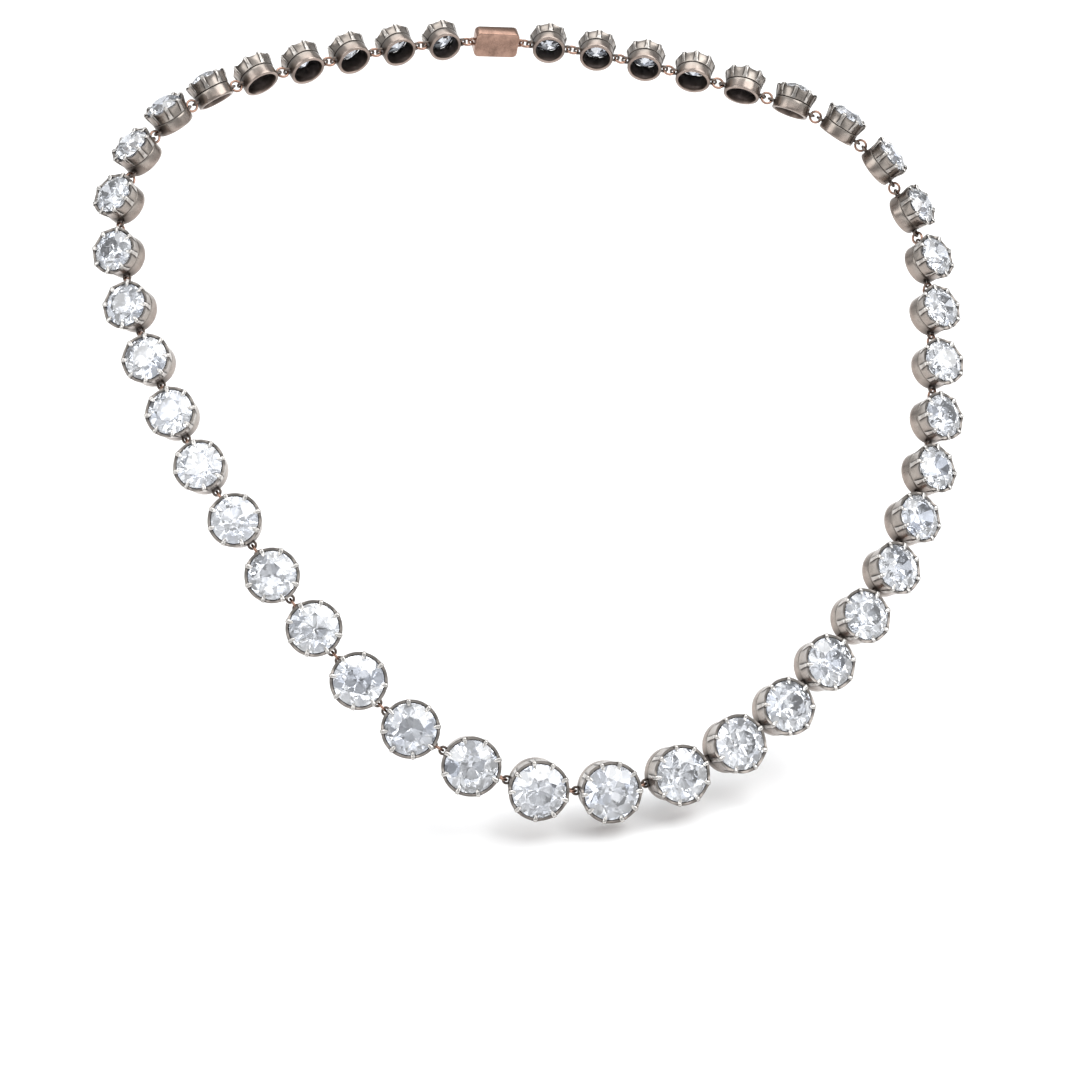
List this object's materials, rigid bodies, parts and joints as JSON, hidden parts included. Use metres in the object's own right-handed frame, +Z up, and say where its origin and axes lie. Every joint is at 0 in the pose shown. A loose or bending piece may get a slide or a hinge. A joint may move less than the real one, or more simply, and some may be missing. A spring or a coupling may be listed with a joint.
{
  "type": "riviere necklace",
  "caption": "Closed graduated row of round old-cut stones in open-backed claw collets, joined by small links, with a plain box clasp, in its worn form.",
  "frame": {"origin": "middle of the clasp's inner face, where the necklace rests on the nape", "axes": "+Z up as worn, -Y to the front, +X to the wearer's left"},
  "size_m": [0.1388, 0.1079, 0.0876],
  "materials": {
    "setting_silver": "aged silver over rose gold, softly polished",
    "stone": "clear faceted stone",
    "link_gold": "worn rose gold wire",
    "clasp_gold": "polished rose gold"
  },
  "bodies": {
    "root": {"centre_setting": "setting_silver", "left_setting_01": "setting_silver", "left_setting_02": "setting_silver", "left_setting_03": "setting_silver", "left_setting_04": "setting_silver", "left_setting_05": "setting_silver", "left_setting_06": "setting_silver", "left_setting_07": "setting_silver", "left_setting_08": "setting_silver", "left_setting_09": "setting_silver", "left_setting_10": "setting_silver", "left_setting_11": "setting_silver", "left_setting_12": "setting_silver", "left_setting_13": "setting_silver", "left_setting_14": "setting_silver", "left_setting_15": "setting_silver", "left_setting_16": "setting_silver", "left_setting_17": "setting_silver", "left_setting_18": "setting_silver", "left_setting_19": "setting_silver", "left_setting_20": "setting_silver", "left_setting_21": "setting_silver", "right_setting_01": "setting_silver", "right_setting_02": "setting_silver", "right_setting_03": "setting_silver", "right_setting_04": "setting_silver", "right_setting_05": "setting_silver", "right_setting_06": "setting_silver", "right_setting_07": "setting_silver", "right_setting_08": "setting_silver", "right_setting_09": "setting_silver", "right_setting_10": "setting_silver", "right_setting_11": "setting_silver", "right_setting_12": "setting_silver", "right_setting_13": "setting_silver", "right_setting_14": "setting_silver", "right_setting_15": "setting_silver", "right_setting_16": "setting_silver", "right_setting_17": "setting_silver", "right_setting_18": "setting_silver", "right_setting_19": "setting_silver", "right_setting_20": "setting_silver", "right_setting_21": "setting_silver", "centre_stone": "stone", "left_stones": "stone", "right_stones": "stone", "left_links": "link_gold", "right_links": "link_gold", "clasp": "clasp_gold"}
  },
  "joints": []
}
